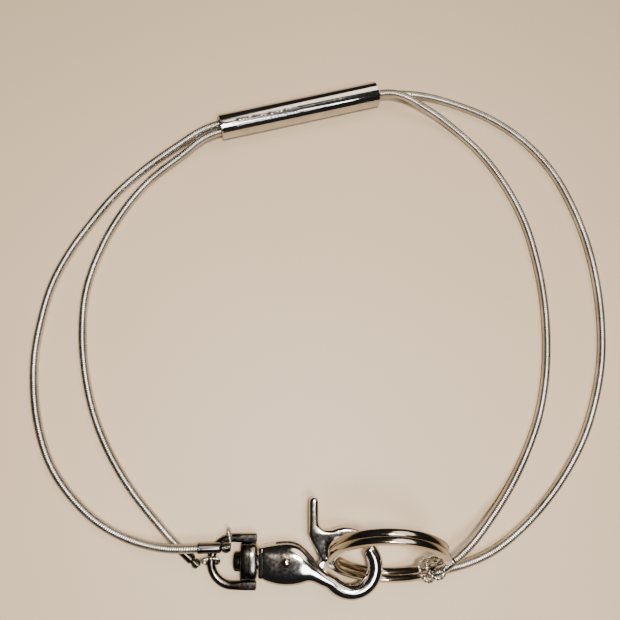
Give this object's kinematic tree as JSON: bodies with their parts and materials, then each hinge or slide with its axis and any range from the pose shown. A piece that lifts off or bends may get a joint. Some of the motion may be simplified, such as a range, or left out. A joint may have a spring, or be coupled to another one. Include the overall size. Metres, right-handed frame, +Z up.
{
  "type": "wire lanyard with swivel trigger snap hook",
  "caption": "Steel wire lanyard loop: paired close-wound cords through a slide tube, joined by a swivel trigger snap hook and a split ring.",
  "frame": {"origin": "centre of the box of the hardware (all but the cords and their end pieces), on the surface it lies on", "axes": "+Z up from the surface, +X from the swivel towards the split ring, +Y from the hook towards the slide tube"},
  "size_m": [0.1523, 0.1379, 0.0266],
  "materials": {
    "polished_nickel": "polished nickel plate on die-cast zinc",
    "bright_steel": "polished nickel-plated spring steel",
    "dark_nickel": "nickel plate in the shade of the joint, slightly dulled",
    "wound_cord": "close-wound stainless wire over a wire core",
    "eye_wire": "bright drawn stainless wire"
  },
  "bodies": {
    "hook": {"hook_body": "polished_nickel", "gate_pin": "polished_nickel", "gate_spring": "bright_steel", "swivel_stud": "dark_nickel", "swivel_washer": "polished_nickel", "cord_a_left": "wound_cord", "cord_a_right": "wound_cord", "cord_b_left": "wound_cord", "cord_b_right": "wound_cord"},
    "gate": {"gate": "polished_nickel"},
    "swivel": {"swivel_barrel": "dark_nickel", "bail": "dark_nickel", "ferrule_a": "dark_nickel", "ferrule_b": "dark_nickel", "crimp_a": "dark_nickel", "crimp_b": "dark_nickel", "bail_eye_a": "eye_wire", "bail_eye_b": "eye_wire"},
    "ring_ends": {"wrap_a": "eye_wire", "wrap_b": "eye_wire", "ring_eye_a": "eye_wire", "ring_eye_b": "eye_wire"},
    "ring": {"split_ring": "bright_steel"},
    "tube": {"slide_tube": "polished_nickel"}
  },
  "joints": [
    {"name": "gate_hinge", "type": "hinge", "parent": "hook", "child": "gate", "pos_m": [-0.008, -0.06, 0.0037], "axis": [-0.0958, 0, 0.9954], "range_deg": [0, 18], "stiffness_Nm_per_rad": 0.02, "springref_deg": -28.65, "deforming": ["gate_spring"]},
    {"name": "swivel_turn", "type": "hinge", "parent": "hook", "child": "swivel", "pos_m": [-0.01696, -0.06, 0.00284], "axis": [0.9954, 0, 0.0958], "continuous": true, "deforming": ["cord_a_left", "cord_b_left"]},
    {"name": "ring_swing", "type": "hinge", "parent": "hook", "child": "ring_ends", "pos_m": [0.01328, -0.06356, 0.00176], "axis": [0.8898, 0.1355, 0.4357], "range_deg": [0, 10], "deforming": ["cord_a_right", "cord_b_right"]},
    {"name": "ring_spin", "type": "hinge", "parent": "ring_ends", "child": "ring", "pos_m": [0.0149, -0.058, 0.0134], "axis": [-0.0783, -0.8954, 0.4384], "continuous": true},
    {"name": "tube_slide", "type": "slide", "parent": "hook", "child": "tube", "axis": [0.9613, 0.2756, 0], "range_m": [-0.004, 0.004]}
  ]
}
